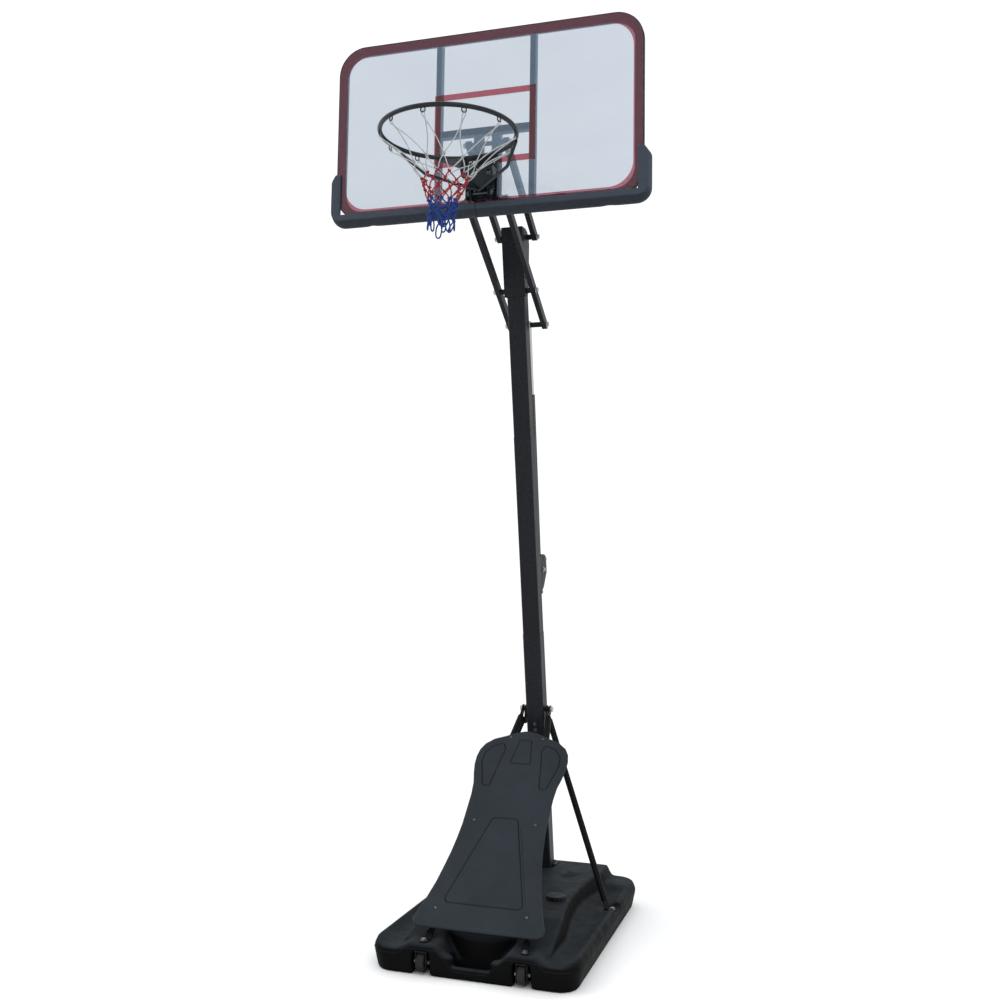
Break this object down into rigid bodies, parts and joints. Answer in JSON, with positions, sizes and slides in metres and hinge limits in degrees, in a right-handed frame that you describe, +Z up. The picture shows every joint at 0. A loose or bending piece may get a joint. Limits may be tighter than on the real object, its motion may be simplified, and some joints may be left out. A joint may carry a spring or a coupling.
{
  "type": "portable basketball hoop",
  "caption": "Portable basketball hoop: ballast tank on wheels, leaning three-part pole, braces, parallel lifting arms, clear framed board, padded lower edge and sprung rim with net.",
  "frame": {"origin": "on the floor under the centre of the pole's foot", "axes": "+Z up, -Y towards the player and the ring, +X to the player's right when facing the board"},
  "size_m": [1.272, 1.75, 3.514],
  "materials": {
    "tank_plastic": "blow-moulded black plastic, fine grain",
    "cap_plastic": "satin black plastic",
    "bush_plastic": "satin",
    "cover_plastic": "blue-grey moulded plastic, fine grain",
    "pole_paint": "satin black powder coat",
    "dark_paint": "satin black powder coat",
    "rim_paint": "satin black powder coat",
    "zinc": "zinc plate",
    "wheel_tyre": "matt",
    "pad_rubber": "soft matt grey padding",
    "clear_sheet": "clear polished sheet",
    "net_cord": "braided cord, three colours in bands"
  },
  "bodies": {
    "stand": {"base_tank": "tank_plastic", "foot_plate": "dark_paint", "pole_screws": "zinc", "wheel_forks": "dark_paint", "wheel_axles": "zinc", "pole_lower": "pole_paint", "pole_middle": "pole_paint", "pole_upper": "pole_paint", "front_brace_left": "pole_paint", "front_brace_right": "pole_paint", "side_brace_left": "pole_paint", "side_brace_right": "pole_paint", "brace_bolt": "zinc", "stand_spacers": "bush_plastic", "foot_bolts": "zinc", "front_cover": "cover_plastic", "cover_screws": "bush_plastic", "head_bracket": "pole_paint", "head_bolt": "zinc", "lower_pivot_bolt": "zinc", "upper_pivot_bolt": "zinc", "latch_housing": "dark_paint", "strut_bolt": "zinc", "lever_pin": "zinc"},
    "wheel_left": {"tyre_left": "wheel_tyre", "wheel_hub_left": "cap_plastic"},
    "wheel_right": {"tyre_right": "wheel_tyre", "wheel_hub_right": "cap_plastic"},
    "filler_cap": {"fill_cap": "cap_plastic"},
    "lever": {"lever_handle": "cap_plastic"},
    "strut_outer": {"strut_outer_tube": "pole_paint"},
    "strut_inner": {"strut_inner_tube": "zinc"},
    "long_arms": {"long_arm_left": "pole_paint", "long_arm_right": "pole_paint", "tail_rod": "zinc", "tail_spacers": "bush_plastic"},
    "short_arms": {"short_arm_left": "pole_paint", "short_arm_right": "pole_paint"},
    "board": {"board_sheet": "clear_sheet", "board_frame": "dark_paint", "rail_left": "dark_paint", "rail_right": "dark_paint", "crossbar": "dark_paint", "bracket_channels": "dark_paint", "board_spacers": "bush_plastic", "board_lower_bolt": "zinc", "board_upper_bolt": "zinc", "pad_left": "pad_rubber", "pad_right": "pad_rubber", "rim_mount": "rim_paint", "rim_bolts": "zinc", "rim_hinge_pin": "rim_paint"},
    "rim": {"rim_ring": "rim_paint", "rim_saddle": "rim_paint", "rim_braces": "rim_paint", "net_hooks": "rim_paint", "spring_cover": "rim_paint", "return_springs": "zinc", "spring_bolts": "rim_paint", "net": "net_cord"}
  },
  "joints": [
    {"name": "height_adjust", "type": "hinge", "parent": "stand", "child": "long_arms", "pos_m": [0, -0.537, 2.611], "axis": [1, 0, 0], "range_deg": [0, 82]},
    {"name": "short_arm_swing", "type": "hinge", "parent": "stand", "child": "short_arms", "pos_m": [0, -0.531, 2.837], "axis": [1, 0, 0], "range_deg": [-1, 83]},
    {"name": "board_level", "type": "hinge", "parent": "long_arms", "child": "board", "pos_m": [0, -0.939, 2.86], "axis": [1, 0, 0], "range_deg": [-83, 1]},
    {"name": "strut_swing", "type": "hinge", "parent": "stand", "child": "strut_outer", "pos_m": [0, -0.17944, 1.46612], "axis": [1, 0, 0], "range_deg": [-1, 1]},
    {"name": "strut_slide", "type": "slide", "parent": "strut_outer", "child": "strut_inner", "axis": [0, -0.1775, 0.9841], "range_m": [-0.003, 0.2654]},
    {"name": "latch_lever", "type": "hinge", "parent": "stand", "child": "lever", "pos_m": [0, -0.15017, 1.5112], "axis": [1, 0, 0], "range_deg": [0, 15], "stiffness_Nm_per_rad": 1.5, "springref_deg": -20.05},
    {"name": "rim_tip", "type": "hinge", "parent": "board", "child": "rim", "pos_m": [0, -1.011, 2.866], "axis": [1, 0, 0], "range_deg": [0, 25], "stiffness_Nm_per_rad": 220, "springref_deg": -14.32},
    {"name": "filler_cap_turn", "type": "hinge", "parent": "stand", "child": "filler_cap", "pos_m": [0.178, -0.47, 0.165], "axis": [0, 0, 1], "continuous": true},
    {"name": "wheel_left_roll", "type": "hinge", "parent": "stand", "child": "wheel_left", "pos_m": [-0.19, -0.962, 0.045], "axis": [1, 0, 0], "continuous": true},
    {"name": "wheel_right_roll", "type": "hinge", "parent": "stand", "child": "wheel_right", "pos_m": [0.19, -0.962, 0.045], "axis": [1, 0, 0], "continuous": true}
  ],
  "couplings": [
    {"joint": "short_arm_swing", "follows": "height_adjust", "ratio": 1},
    {"joint": "board_level", "follows": "height_adjust", "ratio": -1},
    {"joint": "strut_swing", "follows": "height_adjust", "ratio": -0.0024272},
    {"joint": "strut_slide", "follows": "height_adjust", "m_per_rad": 0.18334}
  ]
}
